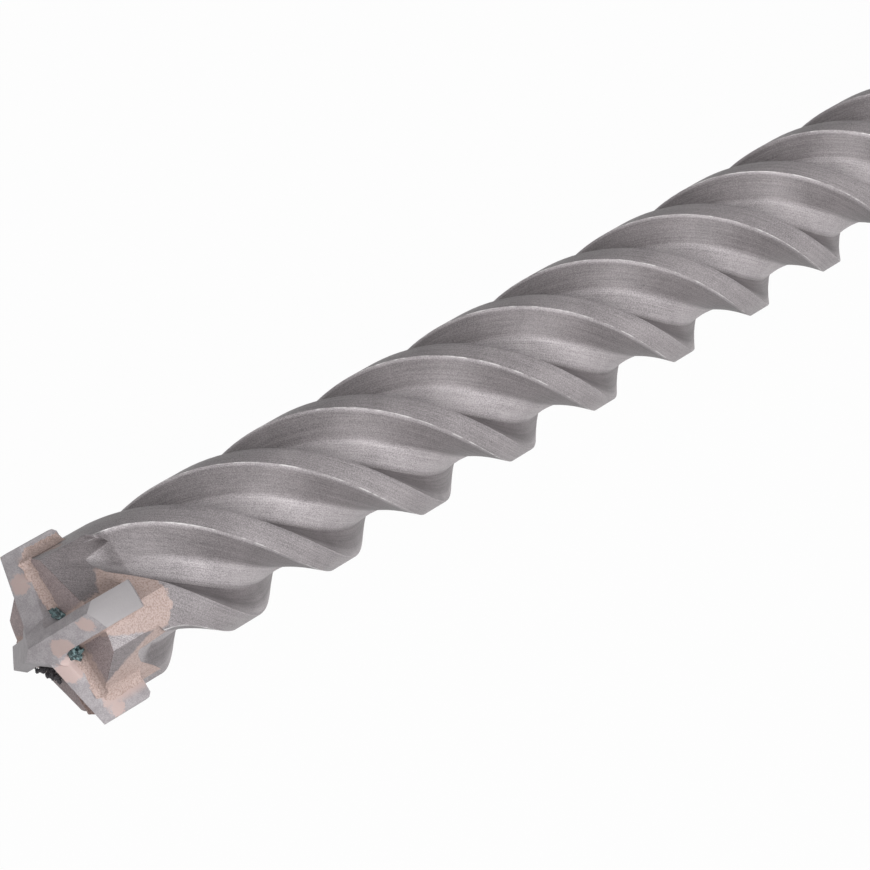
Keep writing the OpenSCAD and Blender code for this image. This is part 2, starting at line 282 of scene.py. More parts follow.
def makeFlutedBar():
    tree = bpy.data.node_groups.new("flutedBar", "GeometryNodeTree")
    addSockets(tree, [(name, "NodeSocketFloat", value) for name, value in flutes.items()],
               [("Geometry", "NodeSocketGeometry")])
    given = addNode(tree, "NodeGroupInput").outputs
    rings = section["spiralRings"] + section["headRings"]
    tube = addNode(tree, "GeometryNodeMeshCylinder", fill_type="TRIANGLE_FAN")
    feed(tree, tube.inputs["Vertices"], section["starts"] * section["columns"])
    feed(tree, tube.inputs["Side Segments"], rings)
    feed(tree, tube.inputs["Radius"], 1.0)
    feed(tree, tube.inputs["Depth"], 1.0)
    place = addNode(tree, "ShaderNodeSeparateXYZ")
    tree.links.new(addNode(tree, "GeometryNodeInputPosition").outputs[0], place.inputs[0])

    # Height: even steps along the spiral, short ones at the head
    along = plus(tree, place.outputs[2], 0.5)
    spiralShare = section["spiralRings"] / rings
    lower = calc(tree, "DIVIDE", along, spiralShare, clamp=True)
    upper = calc(tree, "DIVIDE", minus(tree, along, spiralShare), 1 - spiralShare, clamp=True)
    spiralTop, start = given["Spiral Top X"], given["Start X"]
    x = timesPlus(tree, lower, minus(tree, spiralTop, start), start)
    x = timesPlus(tree, upper, minus(tree, given["Front X"], spiralTop), x)

    # Which land a point belongs to, and where it is on the land or across the flute
    turn = calc(tree, "DIVIDE", calc(tree, "ARCTAN2", place.outputs[1], place.outputs[0]), math.tau)
    column = timesPlus(tree, turn, section["starts"], 0.001)
    land = calc(tree, "FLOOR", column)
    part = minus(tree, column, land)
    landPart = section["landColumns"] / section["columns"]
    onLand = calc(tree, "DIVIDE", part, landPart, clamp=True)
    inFlute = calc(tree, "DIVIDE", minus(tree, part, landPart), 1 - landPart, clamp=True)

    leadEdge, trailEdge = landEdges(tree, minus(tree, datumX, x), given)
    landWidth = minus(tree, leadEdge, trailEdge)
    fluteWidth = minus(tree, 360.0 / section["starts"], landWidth)
    angle = timesPlus(tree, onLand, landWidth, trailEdge)
    angle = timesPlus(tree, inFlute, fluteWidth, angle)
    angle = timesPlus(tree, land, 360.0 / section["starts"], angle)
    angle = calc(tree, "RADIANS", plus(tree, angle, drill["armTurn"]))

    # Radius: the flute's share, lifted out of the steel at both ends, and a cone at the neck
    share = flutedShare(tree, minus(tree, 1.0, inFlute))
    liftHead = minus(tree, x, given["Full Head X"])
    liftNeck = minus(tree, given["Full Neck X"], x)
    lift = calc(tree, "MAXIMUM", calc(tree, "MAXIMUM", liftHead, liftNeck), 0.0)
    lift = times(tree, lift, given["Rise Slope"])
    radius = timesPlus(tree, share, given["Land Radius"], lift)
    beforeFlute = calc(tree, "LESS_THAN", part, landPart - 0.0001)
    inCollar = calc(tree, "GREATER_THAN", x, given["Collar X"])
    whole = calc(tree, "ADD", beforeFlute, inCollar, clamp=True)
    radius = timesPlus(tree, whole, given["Land Radius"], radius)
    coneStart = minus(tree, given["Neck Radius"], section["neckStep"])
    cone = timesPlus(tree, minus(tree, x, start), section["coneSlope"], coneStart)
    radius = calc(tree, "MINIMUM", calc(tree, "MINIMUM", radius, given["Land Radius"]), cone)
    radius = times(tree, radius, offAxis(tree, place))

    spot = addNode(tree, "ShaderNodeCombineXYZ")
    feed(tree, spot.inputs[0], x)
    feed(tree, spot.inputs[1], times(tree, radius, calc(tree, "COSINE", angle)))
    feed(tree, spot.inputs[2], times(tree, radius, calc(tree, "SINE", angle)))
    shaped = addNode(tree, "GeometryNodeSetPosition")
    tree.links.new(tube.outputs["Mesh"], shaped.inputs["Geometry"])
    tree.links.new(spot.outputs[0], shaped.inputs["Position"])
    finishTree(tree, shaped.outputs[0], steelFinish)
    return bakeTree(tree, "steelBody", flutes)


# Plain closed shapes: an outline pushed along z, and a profile turned about z

def prism(outline, low, high, place):
    def build(shape):
        bottom = [shape.verts.new(place @ Vector((x, y, low))) for x, y in outline]
        top = [shape.verts.new(place @ Vector((x, y, high))) for x, y in outline]
        shape.faces.new(bottom)
        shape.faces.new(top)
        for i in range(len(outline)):
            j = (i + 1) % len(outline)
            shape.faces.new((bottom[i], bottom[j], top[j], top[i]))
    return meshFrom("prism", build)


def turned(profile, segments, place):
    def build(shape):
        rings = []
        for radius, z in profile:
            if radius == 0:
                rings.append([shape.verts.new(place @ Vector((0, 0, z)))] * segments)
            else:
                rings.append([shape.verts.new(place @ Vector((radius * math.cos(math.tau * i / segments),
                                                              radius * math.sin(math.tau * i / segments), z)))
                              for i in range(segments)])
        for lower, upper in zip(rings, rings[1:]):
            for i in range(segments):
                j = (i + 1) % segments
                corners = []
                for vert in (lower[i], lower[j], upper[j], upper[i]):
                    if vert not in corners:
                        corners.append(vert)
                shape.faces.new(corners)
    return meshFrom("turned", build)


def arc(centreX, centreY, radius, start, end, steps):
    angles = [math.radians(start + (end - start) * i / steps) for i in range(steps + 1)]
    return [(centreX + radius * math.cos(a), centreY + radius * math.sin(a)) for a in angles]


# The cross that the tip fills, with round inner corners, wider by widen on every side
def crossOutline(reach, widen):
    lead, lag = drill["armLead"] + widen, drill["armLag"] + widen
    corner = drill["innerRadius"]
    quarter = [(reach, -lag), (reach, lead)]
    quarter += arc(drill["armLag"] + corner, drill["armLead"] + corner, corner - widen, 270, 180, 8)
    outline = []
    for turn in range(4):
        spin = Matrix.Rotation(math.radians(90 * turn), 2)
        outline += [tuple(spin @ Vector(point)) for point in quarter]
    return outline


shank = {
    "radius": 0.009,
    "groovedRadius": 0.0088,
    "chamfer": 0.0015,
    "groovesEnd": 0.072,
    "plainEnd": 0.114,
    "neckRadius": 0.0105,
    "neckEnd": 0.134,
    "neckChamfer": 0.0006,
    "stepRun": 0.2 * mm,      # from the grooved stretch up to the guiding one
    "coneRun": 1.6,           # length of the cone to the neck, as a share of its rise
    "overlap": 0.3 * mm,      # reach into the fluted bar
    "pocketStart": 0.022,
    "pocketLength": 0.030,
    "pocketRadius": 0.0038,
    "pocketDepth": 0.0026,
    "grooveWidth": 0.0046,
    "grooveDepth": 0.0026,
    "pocketSides": (135.0, -45.0),
    "grooveSides": (45.0, 190.0, 260.0),
}
flatCut = {"length": 0.0096, "slant": 37.0}


def shankBlank():
    r, neck, end = shank["radius"], shank["neckRadius"], shank["neckEnd"]
    profile = [(0, 0), (shank["groovedRadius"] - shank["chamfer"], 0),
               (shank["groovedRadius"], shank["chamfer"]), (shank["groovedRadius"], shank["groovesEnd"]),
               (r, shank["groovesEnd"] + shank["stepRun"]), (r, shank["plainEnd"]),
               (neck, shank["plainEnd"] + (neck - r) * shank["coneRun"]),
               (neck, end - shank["neckChamfer"]),
               (neck - shank["neckChamfer"], end + shank["overlap"]), (0, end + shank["overlap"])]
    return turned(profile, 128, standing())


def flatCutter(arm):
    reach = flutes["Land Radius"]
    corner = math.sqrt(reach ** 2 - drill["flatRadius"] ** 2)
    rear = frontX - flatCut["length"]
    rise = math.tan(math.radians(flatCut["slant"]))
    outline = [(-reach, frontX + mm), (reach, frontX + mm),
               (reach, rear + (reach - corner) * rise), (-reach, rear - (reach + corner) * rise)]
    # the outline lies in the plane of the flat and is pushed outwards
    onFlat = Matrix(((0, 0, 1), (1, 0, 0), (0, 1, 0))).to_4x4()
    return prism(outline, drill["flatRadius"], 1.2 * reach, standing(arm + drill["flatAhead"]) @ onFlat)


def pocketCutter(side):
    r, start = shank["pocketRadius"], shank["pocketStart"]
    end = start + shank["pocketLength"]
    profile = [(max(0.0, x), z) for z, x in arc(start + r, 0, r, 180, 90, 12) + arc(end - r, 0, r, 90, 0, 12)]
    profile[0] = (0, profile[0][1])
    profile[-1] = (0, profile[-1][1])
    shift = Matrix.Translation((shank["radius"] + r - shank["pocketDepth"], 0, 0))
    return turned(profile, 48, standing(side) @ shift)


def grooveCutter(side):
    half = shank["grooveWidth"] / 2
    outline = [(-mm, -half)] + arc(shank["groovesEnd"] - half, 0, half, -90, 90, 16) + [(-mm, half)]
    along = Matrix(((0, 0, 1), (0, 1, 0), (1, 0, 0))).to_4x4()
    return prism(outline, shank["radius"] - shank["grooveDepth"], 2 * shank["radius"], standing(side) @ along)


def combine(obj, mesh, operation):
    other = addObject("cutter", mesh)
    modifier = obj.modifiers.new("combine", "BOOLEAN")
    modifier.operation = operation
    modifier.solver = "MANIFOLD"
    modifier.object = other
    applyModifiers(obj)
    bpy.data.objects.remove(other)


def makeSteelBody():
    obj = addObject("steelBody", makeFlutedBar())
    combine(obj, shankBlank(), "UNION")
    for arm in allArms:
        combine(obj, flatCutter(arm), "DIFFERENCE")
    slotReach = 2 * flutes["Land Radius"]
    film = drill["brazeFilm"]
    slot = prism(crossOutline(slotReach, film), tipRearX - film, frontX + mm, standing())
    combine(obj, slot, "DIFFERENCE")
    for side in shank["pocketSides"]:
        combine(obj, pocketCutter(side), "DIFFERENCE")
    for side in shank["grooveSides"]:
        combine(obj, grooveCutter(side), "DIFFERENCE")
    softShade(obj.data, 30)
    obj.data.materials.clear()
    obj.data.materials.append(steelFinish)
    return obj


steelBody = makeSteelBody()
print("steel body:", len(steelBody.data.polygons), "faces")


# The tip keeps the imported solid's form and gets its small ground radii

groundEdges = {
    "weld": 0.002 * mm,
    "flatWithin": 1.5,        # degrees between facets that become one face
    "width": 0.13 * mm,
    "segments": 3,
    "fromAngle": 22,
}


def makeCarbideTip():
    obj = addObject("carbideTip", frame["nodes"]["carbide_tip"].data.copy())
    shape = bmesh.new()
    shape.from_mesh(obj.data)
    bmesh.ops.remove_doubles(shape, verts=shape.verts, dist=groundEdges["weld"])
    bmesh.ops.dissolve_limit(shape, angle_limit=math.radians(groundEdges["flatWithin"]),
                             verts=shape.verts, edges=shape.edges)
    shape.to_mesh(obj.data)
    shape.free()
    bevel = obj.modifiers.new("groundEdges", "BEVEL")
    bevel.width = groundEdges["width"]
    bevel.segments = groundEdges["segments"]
    bevel.limit_method = "ANGLE"
    bevel.angle_limit = math.radians(groundEdges["fromAngle"])
    applyModifiers(obj)
    softShade(obj.data, 30)
    obj.data.materials.clear()
    obj.data.materials.append(carbideFinish)
    return obj


carbideTip = makeCarbideTip()
print("carbide tip:", len(carbideTip.data.polygons), "faces")


# One run of brazing alloy: a hollow fillet with a grainy, wavy face

brazeRuns = {
    "longFront": 0.0019,      # width beside the long arms, on the steel front face
    "longFrontHeight": 0.0015,
    "longFlank": 0.0018,      # along the flanks of the long arms
    "shortFront": 0.0007,
    "shortFlank": 0.0006,
    "pastFlat": 0.3 * mm,     # how far the runs go on past the steel's edges
    "pastLobe": 0.2 * mm,
    "pastFront": 0.3 * mm,
    "flankMore": 0.4 * mm,
    "sunk": 0.05 * mm,        # under the two faces that a run lies on
    "around": 40,
    "rings": 90,
    "faceShare": 0.8,         # of a ring on the open face, the rest on the hidden sides
    "waves": 420.0,           # per metre
    "grains": 2600.0,         # per metre
    "grain": 0.00009,
    "firstSeed": 3.0,
    "seedStep": 7.3,
}


def makeBrazeRunTree():
    tree = bpy.data.node_groups.new("brazeRun", "GeometryNodeTree")
    addSockets(tree, [("Length", "NodeSocketFloat", 0.01), ("Width", "NodeSocketFloat", 0.0015),
                      ("Height", "NodeSocketFloat", 0.0015), ("Hollow", "NodeSocketFloat", 1.6),
                      ("Grain", "NodeSocketFloat", 0.0001), ("Seed", "NodeSocketFloat", 0.0)],
               [("Geometry", "NodeSocketGeometry")])
    given = addNode(tree, "NodeGroupInput").outputs
    tube = addNode(tree, "GeometryNodeMeshCylinder", fill_type="TRIANGLE_FAN")
    feed(tree, tube.inputs["Vertices"], brazeRuns["around"])
    feed(tree, tube.inputs["Side Segments"], brazeRuns["rings"])
    feed(tree, tube.inputs["Radius"], 1.0)
    feed(tree, tube.inputs["Depth"], 1.0)
    place = addNode(tree, "ShaderNodeSeparateXYZ")
    tree.links.new(addNode(tree, "GeometryNodeInputPosition").outputs[0], place.inputs[0])
    along = plus(tree, place.outputs[2], 0.5)
    turn = calc(tree, "DIVIDE", calc(tree, "ARCTAN2", place.outputs[1], place.outputs[0]), math.tau)
    ring = calc(tree, "FRACT", plus(tree, turn, 1.0001))

    # the open face takes most of the ring, the two hidden sides the rest
    faceShare = brazeRuns["faceShare"]
    face = calc(tree, "DIVIDE", ring, faceShare, clamp=True)
    back = calc(tree, "DIVIDE", minus(tree, ring, faceShare), 1 - faceShare, clamp=True)
    onFace = calc(tree, "LESS_THAN", ring, faceShare)
    wave = addNode(tree, "ShaderNodeTexNoise", noise_dimensions="1D")
    feed(tree, wave.inputs["Scale"], 1.0)
    waves = times(tree, given["Length"], brazeRuns["waves"])
    feed(tree, wave.inputs["W"], timesPlus(tree, along, waves, given["Seed"]))
    sway = timesPlus(tree, wave.outputs[0], 0.7, 0.65)
    ends = times(tree, ramp(tree, along, 0.0, 0.05), ramp(tree, along, 1.0, 0.95))
    sway = times(tree, sway, timesPlus(tree, ends, 0.6, 0.4))
    hollow = given["Hollow"]
    faceY = calc(tree, "POWER", minus(tree, 1.0, face), hollow)
    faceZ = calc(tree, "POWER", face, hollow)
    # back sides: down the tall wall to the corner, then out along the other wall
    down = calc(tree, "MULTIPLY", back, 2.0, clamp=True)
    backY = calc(tree, "SUBTRACT", times(tree, back, 2.0), 1.0, clamp=True)
    backZ = minus(tree, 1.0, down)
    offFace = minus(tree, 1.0, onFace)
    partY = plus(tree, times(tree, faceY, onFace), times(tree, backY, offFace))
    partZ = plus(tree, times(tree, faceZ, onFace), times(tree, backZ, offFace))
    y = times(tree, times(tree, partY, given["Width"]), sway)
    z = times(tree, times(tree, partZ, given["Height"]), sway)
    y = times(tree, y, offAxis(tree, place))
    z = times(tree, z, offAxis(tree, place))
    sunk = brazeRuns["sunk"]
    spot = addNode(tree, "ShaderNodeCombineXYZ")
    feed(tree, spot.inputs[0], times(tree, along, given["Length"]))
    feed(tree, spot.inputs[1], minus(tree, y, sunk))
    feed(tree, spot.inputs[2], minus(tree, z, sunk))
    shaped = addNode(tree, "GeometryNodeSetPosition")
    tree.links.new(tube.outputs["Mesh"], shaped.inputs["Geometry"])
    tree.links.new(spot.outputs[0], shaped.inputs["Position"])

    # grains of alloy on the face
    seedShift = addNode(tree, "ShaderNodeVectorMath", operation="ADD")
    tree.links.new(addNode(tree, "GeometryNodeInputPosition").outputs[0], seedShift.inputs[0])
    tree.links.new(given["Seed"], seedShift.inputs[1])
    grain = addNode(tree, "ShaderNodeTexNoise")
    tree.links.new(seedShift.outputs[0], grain.inputs["Vector"])
    feed(tree, grain.inputs["Scale"], brazeRuns["grains"])
    feed(tree, grain.inputs["Detail"], 2.0)
    push = times(tree, timesPlus(tree, grain.outputs[0], 2.0, -1.0), given["Grain"])
    move = addNode(tree, "ShaderNodeVectorMath", operation="SCALE")
    tree.links.new(addNode(tree, "GeometryNodeInputNormal").outputs[0], move.inputs[0])
    tree.links.new(push, move.inputs["Scale"])
    rough = addNode(tree, "GeometryNodeSetPosition")
    tree.links.new(shaped.outputs[0], rough.inputs["Geometry"])
    tree.links.new(move.outputs[0], rough.inputs["Offset"])
    finishTree(tree, rough.outputs[0], brazeFinish)
    return tree


def axesTo(origin, run, wallA, wallB):
    matrix = Matrix((run, wallA, wallB)).transposed().to_4x4()
    matrix.translation = origin
    return matrix


def makeBraze():
    tree = makeBrazeRunTree()
    lead, lag, corner = drill["armLead"], drill["armLag"], drill["innerRadius"]
    ahead = math.radians(drill["flatAhead"])
    flatX = (drill["flatRadius"] - lead * math.sin(ahead)) / math.cos(ahead)
    flatWall = Vector((-math.sin(ahead), math.cos(ahead), 0))
    lobeX = math.sqrt(flutes["Land Radius"] ** 2 - lag ** 2)
    lobeTurn = math.asin(lag / flutes["Land Radius"])
    lobeWall = Vector((-math.sin(lobeTurn), -math.cos(lobeTurn), 0))
    flank = frontX - tipRearX + brazeRuns["flankMore"]
    top = frontX + brazeRuns["pastFront"]
    out, up, back = Vector((1, 0, 0)), Vector((0, 0, 1)), Vector((0, 0, -1))
    shape = bmesh.new()
    seed = brazeRuns["firstSeed"]
    for arm in allArms:
        isLong = arm in longArms
        front = brazeRuns["longFront"] if isLong else brazeRuns["shortFront"]
        height = brazeRuns["longFrontHeight"] if isLong else brazeRuns["shortFront"]
        side = brazeRuns["longFlank"] if isLong else brazeRuns["shortFlank"]
        leadStart, lagStart = lag + 0.5 * corner, lead + 0.5 * corner
        runs = [
            (flatX + brazeRuns["pastFlat"] - leadStart, front, height,
             axesTo(Vector((leadStart, lead, frontX)), out, Vector((0, 1, 0)), up)),
            (lobeX + brazeRuns["pastLobe"] - lagStart, front, height,
             axesTo(Vector((lagStart, -lag, frontX)), out, Vector((0, -1, 0)), up)),
            (flank, side, side, axesTo(Vector((flatX, lead, top)), back, flatWall, out)),
            (flank, side, side, axesTo(Vector((lobeX, -lag, top)), back, lobeWall, out)),
        ]
        for length, width, tall, place in runs:
            seed += brazeRuns["seedStep"]
            grain = brazeRuns["grain"] * min(1.0, width / mm)
            piece = bakeTree(tree, "brazeRun", {"Length": length, "Width": width, "Height": tall,
                                                "Grain": grain, "Seed": seed})
            piece.transform(standing(arm) @ place)
            shape.from_mesh(piece)
    bmesh.ops.recalc_face_normals(shape, faces=shape.faces)
    mesh = bpy.data.meshes.new("brazeAlloy")
    shape.to_mesh(mesh)
    shape.free()
    softShade(mesh, 60)
    mesh.materials.append(brazeFinish)
    return addObject("brazeAlloy", mesh)


brazeAlloy = makeBraze()
print("braze alloy:", len(brazeAlloy.data.polygons), "faces")

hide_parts("steel_body")
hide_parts("carbide_tip")
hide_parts("braze")
for piece in (steelBody, carbideTip, brazeAlloy):
    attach(piece, "root")

# Shader groups: where a point of the drill lies, and the marks that depend on it

def shaderGroup(name, inputs, outputs):
    tree = bpy.data.node_groups.new(name, "ShaderNodeTree")
    addSockets(tree, inputs, outputs)
    return tree, addNode(tree, "NodeGroupInput").outputs, addNode(tree, "NodeGroupOutput").inputs


def useGroup(tree, group, **values):
    made = addNode(tree, "ShaderNodeGroup", node_tree=group)
    for name, value in values.items():
        feed(tree, made.inputs[name], value)
    return made.outputs


def noise(tree, where, scale, detail=2.0, roughness=0.5):
    made = addNode(tree, "ShaderNodeTexNoise")
    for name, value in (("Vector", where), ("Scale", scale), ("Detail", detail), ("Roughness", roughness)):
        feed(tree, made.inputs[name], value)
    return made.outputs["Fac"]


def mixColour(tree, share, low, high, how="MIX"):
    made = addNode(tree, "ShaderNodeMix", data_type="RGBA", blend_type=how)
    for socket, value in ((made.inputs["Factor"], share), (made.inputs[6], low), (made.inputs[7], high)):
        feed(tree, socket, value)
    return made.outputs[2]


# Depth below the datum plane, sizes across the section (mm) and turns (degrees)
def makeDrillPlaces():
    numbers = ("Depth", "Across", "Upright", "Radius", "Ahead", "Long Leads", "From Lead", "From Trail")
    outputs = [(name, "NodeSocketFloat") for name in numbers] + [("Millimetres", "NodeSocketVector")]
    tree, _, out = shaderGroup("drillPlaces", [], outputs)
    where = addNode(tree, "ShaderNodeTexCoord").outputs["Object"]
    scaled = addNode(tree, "ShaderNodeVectorMath", operation="SCALE")
    feed(tree, scaled.inputs[0], where)
    feed(tree, scaled.inputs["Scale"], 1 / mm)
    part = addNode(tree, "ShaderNodeSeparateXYZ")
    feed(tree, part.inputs[0], scaled.outputs[0])
    depth = minus(tree, datumX / mm, part.outputs[0])
    half = math.sqrt(0.5)
    across = times(tree, plus(tree, part.outputs[1], part.outputs[2]), half)
    upright = times(tree, minus(tree, part.outputs[2], part.outputs[1]), half)
    radius = calc(tree, "SQRT", timesPlus(tree, across, across, times(tree, upright, upright)))
    turn = calc(tree, "DEGREES", calc(tree, "ARCTAN2", upright, across))
    ahead = calc(tree, "WRAP", turn, 90.0, 0.0)
    longLeads = calc(tree, "GREATER_THAN", calc(tree, "WRAP", turn, 180.0, 0.0), 90.0)
    edges = landEdges(tree, times(tree, depth, mm), flutes)
    fromLead, fromTrail = [calc(tree, "WRAP", minus(tree, turn, edge), 45.0, -45.0)
                           for edge in edges]
    for name, value in (("Depth", depth), ("Across", across), ("Upright", upright), ("Radius", radius),
                        ("Ahead", ahead), ("Long Leads", longLeads), ("From Lead", fromLead),
                        ("From Trail", fromTrail), ("Millimetres", scaled.outputs[0])):
        feed(tree, out[name], value)
    return tree


# Copper that ran out of the joints: on the flats ahead of the arms and on the lobes behind.
# Reaches over a flat in mm from the arm's middle, over a lobe in degrees behind the arm.
copperRun = {
    "ragged": 3.0,            # how far the rim of a stain wanders, in mm
    "longFlat": 5.2,
    "longGrowth": 0.78,       # what the reach gains with each mm below the front face
    "shortFlat": 2.9,
    "shortFrom": 5.0,         # depth at which the stain ahead of a short arm widens
    "shortGrowth": 1.33,
    "shortMost": 6.6,
    "lobe": 17.6,
    "lobeGrowth": 1.62,
    "lobeRagged": 5.0,
    "lobeDepth": 7.5,         # how deep a lobe's stain goes, and as much again behind a short arm
    "lobeEdge": (33.0, 30.5),
}


def makeCopperStain():
    numbers = ("Depth", "Radius", "Ahead", "Long Leads", "On Flat")
    inputs = [(name, "NodeSocketFloat", 0.0) for name in numbers]
    tree, given, out = shaderGroup("copperStain", inputs + [("Where", "NodeSocketVector", None)],
                                   [("Mask", "NodeSocketFloat")])
    run = copperRun
    depth, ahead, longLeads = given["Depth"], given["Ahead"], given["Long Leads"]
    ragged = minus(tree, noise(tree, given["Where"], 1.1, 5.0, 0.62), 0.5)
    aside = times(tree, given["Radius"], calc(tree, "SINE", calc(tree, "RADIANS", ahead)))
    longReach = timesPlus(tree, minus(tree, depth, 1.3), run["longGrowth"], run["longFlat"])
    widened = calc(tree, "MAXIMUM", minus(tree, depth, run["shortFrom"]), 0.0)
    shortReach = timesPlus(tree, widened, run["shortGrowth"], run["shortFlat"])
    shortReach = calc(tree, "MINIMUM", shortReach, run["shortMost"])
    reach = timesPlus(tree, minus(tree, longReach, shortReach), longLeads, shortReach)
    over = timesPlus(tree, ragged, run["ragged"], minus(tree, reach, aside))
    leading = times(tree, ramp(tree, over, -0.3, 0.5), given["On Flat"])
    back = minus(tree, 90.0, ahead)
    lobeReach = timesPlus(tree, minus(tree, depth, 2.0), run["lobeGrowth"], run["lobe"])
    onLobe = timesPlus(tree, ragged, run["lobeRagged"], minus(tree, lobeReach, back))
    farEnd = timesPlus(tree, longLeads, run["lobeDepth"], run["lobeDepth"])
    farEnd = timesPlus(tree, ramp(tree, back, 20.0, 32.0), -2.0, farEnd)
    short = timesPlus(tree, ragged, run["ragged"], minus(tree, farEnd, depth))
    trailing = times(tree, ramp(tree, onLobe, -0.8, 0.8), ramp(tree, short, -0.2, 0.5))
    trailing = times(tree, trailing, ramp(tree, back, *run["lobeEdge"]))
    feed(tree, out["Mask"], calc(tree, "MAXIMUM", leading, trailing))
    return tree


# Fine blasted texture: a height for the bump and a speckle for the colour
def makeBlastedGrain():
    inputs = [("Where", "NodeSocketVector", None), ("Size", "NodeSocketFloat", 0.3)]
    outputs = [(name, "NodeSocketFloat") for name in ("Height", "Speckle", "Cloud")]
    tree, given, out = shaderGroup("blastedGrain", inputs, outputs)
    where, size = given["Where"], given["Size"]
    speckle = noise(tree, where, calc(tree, "DIVIDE", 1.6, size), 1.0)
    feed(tree, out["Height"], noise(tree, where, calc(tree, "DIVIDE", 1.0, size), 3.0, 0.6))
    feed(tree, out["Speckle"], ramp(tree, speckle, 0.3, 0.7))
    feed(tree, out["Cloud"], noise(tree, where, 0.12, 4.0, 0.6))
    return tree


drillPlaces = makeDrillPlaces()
copperStain = makeCopperStain()
blastedGrain = makeBlastedGrain()

colours = {
    "steelLight": (0.53, 0.49, 0.502, 1),
    "steelDark": (0.175, 0.16, 0.166, 1),
    # painted shade for the flute slopes, steep walls and lands
    "paintedShadeTint": (0.53, 0.52, 0.52, 1),
    "flatTint": (0.62, 0.60, 0.60, 1),
    "frontTint": (0.98, 0.86, 0.84, 1),
    # worn edges, with a painted highlight along them
    "wornEdgeAndHighlight": (0.72, 0.70, 0.70, 1),
    "copperLight": (0.50, 0.39, 0.36, 1),
    "copperDark": (0.33, 0.238, 0.205, 1),
    "carbideLight": (0.43, 0.40, 0.415, 1),
    "carbideDark": (0.29, 0.268, 0.28, 1),
    "groundRim": (0.33, 0.312, 0.32, 1),
    "carbideStain": (0.52, 0.385, 0.36, 1),
    "fluxLight": (0.16, 0.25, 0.26, 1),
    "fluxDark": (0.02, 0.045, 0.05, 1),
    "crust": (0.1, 0.094, 0.102, 1),
}


# Size of the grain in mm, roughness, metal, and the strength and depth of the bump
surfaces = {
    "steel": {"grain": 0.3, "rough": 0.43, "metal": 0.15, "bump": 0.5, "deep": 0.15 * mm},
    "carbide": {"grain": 0.34, "rough": 0.5, "metal": 0.08, "bump": 0.35, "deep": 0.08 * mm},
    "braze": {"grain": 0.26, "rough": 0.55, "metal": 0.15, "bump": 0.8, "deep": 0.2 * mm},
    "flux": {"grain": 0.7, "rough": 0.3, "metal": 0.0, "bump": 0.8, "deep": 0.3 * mm},
    "crust": {"grain": 0.5, "rough": 0.7, "metal": 0.0, "bump": 1.0, "deep": 0.3 * mm},
}
speckleRough = 0.1        # what the bright speckles add to the roughness


def startFinish(material, surface):
    material.use_nodes = True
    tree = material.node_tree
    at = useGroup(tree, drillPlaces)
    grain = useGroup(tree, blastedGrain, Where=at["Millimetres"], Size=surface["grain"])
    return tree, at, grain


def finishSurface(tree, surface, colour, grain, rough=None, metal=None):
    bump = addNode(tree, "ShaderNodeBump")
    for name, value in (("Height", grain["Height"]), ("Strength", surface["bump"]),
                        ("Distance", surface["deep"])):
        feed(tree, bump.inputs[name], value)
    skin = tree.nodes["Principled BSDF"]
    for name, value in (("Base Color", colour), ("Roughness", rough or surface["rough"]),
                        ("Metallic", metal or surface["metal"]), ("Normal", bump.outputs[0])):
        feed(tree, skin.inputs[name], value)


def copperColour(tree, grain):
    share = ramp(tree, grain["Height"], 0.3, 0.62)
    return mixColour(tree, share, colours["copperDark"], colours["copperLight"])


# Shares of the speckle, clouds and streaks in the tone, and the angles of the faces with painted shade
steelMarks = {
    "speckle": 0.5,
    "cloud": 0.2,
    "streak": 0.3,
    # painted shade: the angles it covers, and its share on the lands
    "slopeEnd": (-27.0, -18.0),   # degrees from a land's trailing edge
    "wallEnd": (19.0, 9.0),       # degrees from a land's leading edge
    "landShadeShare": 0.45,
    # share of the worn edges and their painted highlight
    "wearAndHighlight": 0.75,
    "specular": 0.35,
    "copper": 0.92,
    "copperMetal": -0.05,
}


